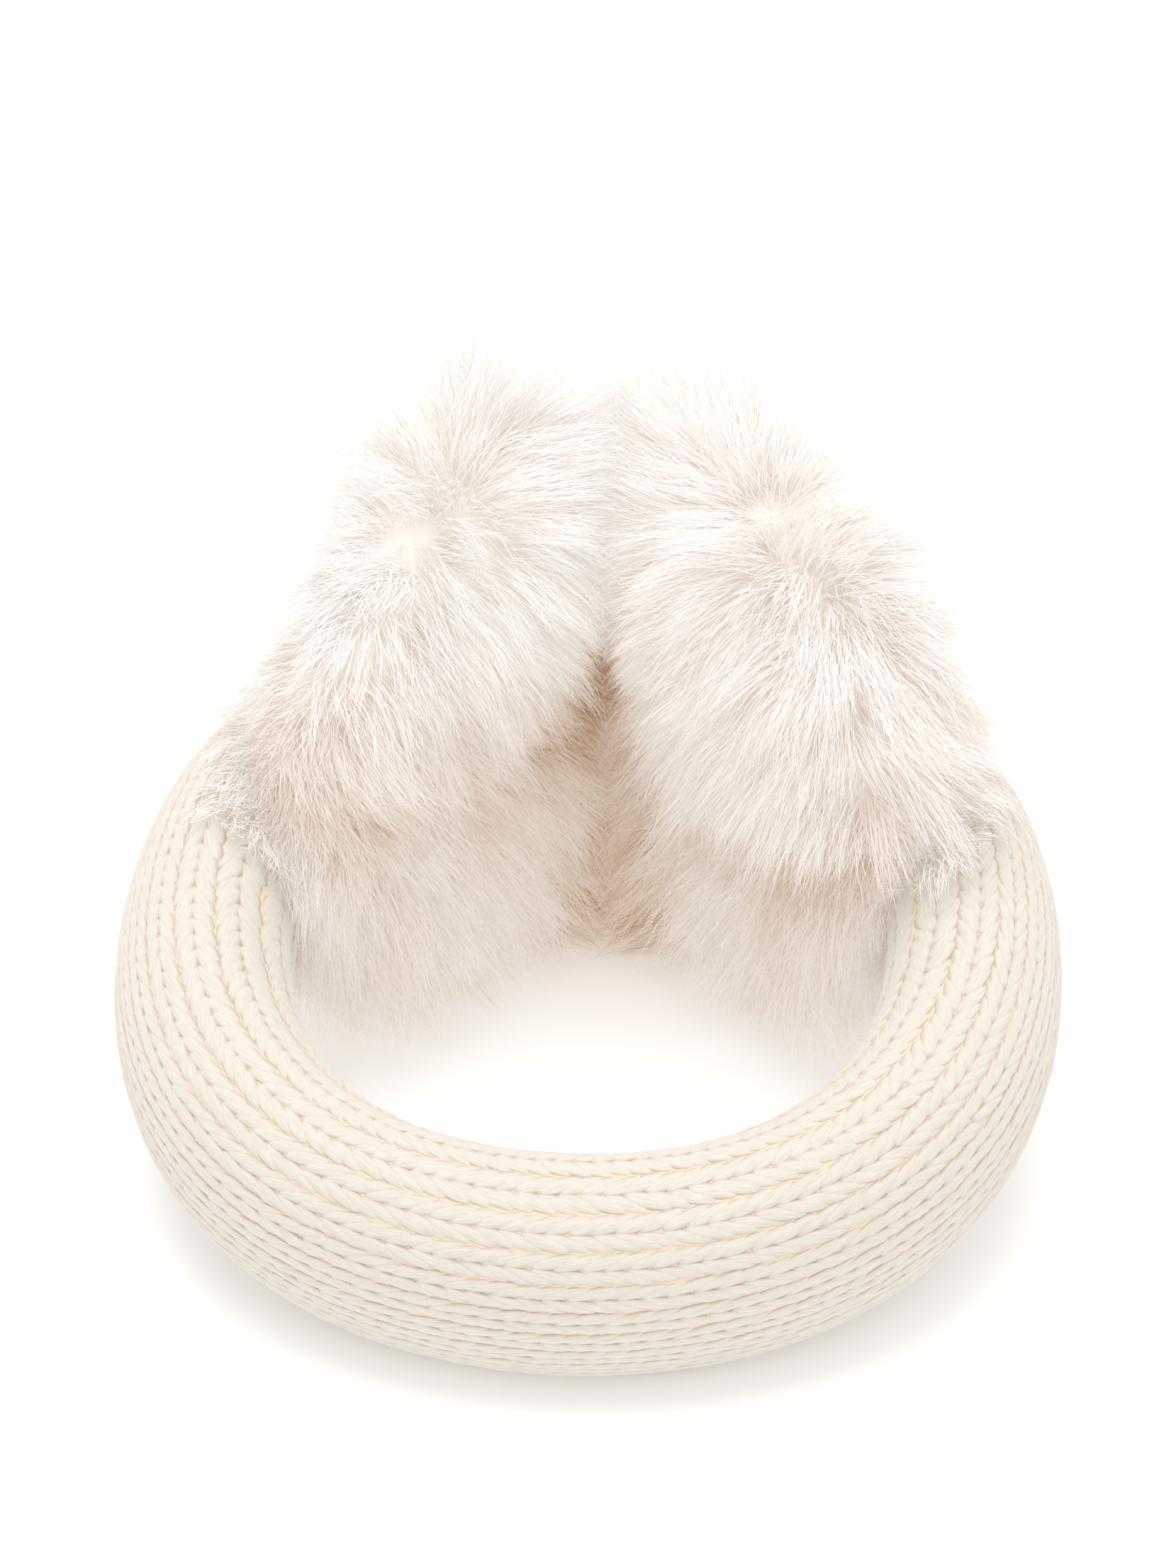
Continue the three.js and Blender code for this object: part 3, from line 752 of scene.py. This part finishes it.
# its browns below 0.5 are reached mostly where painted shade lowers a hair's paleness
root_to_tip = colour_ramp(nodes, (0.0, (0.54, 0.36, 0.22)), (0.35, (0.805, 0.71, 0.632)),
                          (0.7, (0.848, 0.794, 0.744)), (1.0, (0.892, 0.870, 0.852)))
links.new(from_root.outputs["Fac"], root_to_tip.inputs["Fac"])
links.new(root_to_tip.outputs["Color"], shader.inputs["Base Color"])
links.new(root_to_tip.outputs["Color"], see_through.inputs["Color"])
links.new(shader.outputs["BSDF"], both.inputs[1])
links.new(see_through.outputs["BSDF"], both.inputs[2])
links.new(both.outputs["Shader"], nodes["Material Output"].inputs["Surface"])
for name, pad in pads.items():
    undercoat = lay_fur(f"{name}_fur_undercoat", name, locks=2000, hairs=26, steps=3, width=0.00028,
                        length=0.0120, root_lean=8, tip_lean=40, gather=0.2, seed=21 + pad.side)
    long_coat = lay_fur(f"{name}_fur_locks", name, locks=1900, hairs=20, steps=4, width=0.00018,
                        length=0.0195, root_lean=18, tip_lean=80, gather=0.35, seed=31 + pad.side)
    for coat in (undercoat, long_coat):
        coat.data.materials.append(fur)
        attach(coat, "root")

# --- Table, light and camera --------------------------------------------------------------------
# A matt white studio table, with a pale dome over it and two broad soft lamps. The camera looks
# down on the front of the band from a little to the right.
table_size = 6.0
bpy.ops.mesh.primitive_plane_add(size=table_size, location=(0, 0, 0))
table = bpy.context.object
table.name = "table"
white, nodes, links, shader = matt_material("white table", roughness=0.9, gloss=0.0)
shader.inputs["Base Color"].default_value = (0.96, 0.962, 0.968, 1)
table.data.materials.append(white)

world = bpy.data.worlds.new("studio")
world.use_nodes = True
nodes, links = world.node_tree.nodes, world.node_tree.links
direction = nodes.new("ShaderNodeTexCoord")
height = nodes.new("ShaderNodeSeparateXYZ")
dome = colour_ramp(nodes, (0.0, (0.86, 0.85, 0.835)), (1.0, (1.0, 0.99, 0.98)))
links.new(direction.outputs["Generated"], height.inputs["Vector"])
links.new(height.outputs["Z"], dome.inputs["Fac"])
links.new(dome.outputs["Color"], nodes["Background"].inputs["Color"])
nodes["Background"].inputs["Strength"].default_value = 1.25
bpy.context.scene.world = world

lamp_size = 1.2
lamp_aim = Vector((0.0, 0.0, 0.04))
for name, place, power in (("overhead", (-0.1, 0.1, 1.5), 9), ("front", (0.3, -1.5, 1.5), 3)):
    light = bpy.data.lights.new(name, "AREA")
    light.shape = "DISK"
    light.size = lamp_size
    light.energy = power
    lamp = bpy.data.objects.new(name, light)
    bpy.context.scene.collection.objects.link(lamp)
    lamp.location = place
    lamp.rotation_euler = (lamp_aim - Vector(place)).to_track_quat("-Z", "Y").to_euler()

azimuth, elevation, distance = math.radians(3.5), math.radians(31.5), 0.9
target = np.array([-0.0028, crown_y + 0.1159, 0.0554])
camera_data = bpy.data.cameras.new("camera")
camera_data.lens = 100.0
camera = bpy.data.objects.new("camera", camera_data)
bpy.context.scene.collection.objects.link(camera)
back = np.array([math.sin(azimuth) * math.cos(elevation), -math.cos(azimuth) * math.cos(elevation),
                 math.sin(elevation)])
camera.location = target + back * distance
camera.rotation_euler = (math.pi / 2 - elevation, 0, azimuth)
bpy.context.scene.camera = camera
bpy.context.scene.view_settings.view_transform = "Standard"
# the light that has been passed on inside the pile and between the stitches
world.light_settings.distance = 0.0004
world.light_settings.ao_factor = 1.1
bpy.context.scene.cycles.use_fast_gi = True
bpy.context.scene.cycles.fast_gi_method = "REPLACE"
bpy.context.scene.cycles.ao_bounces_render = 2
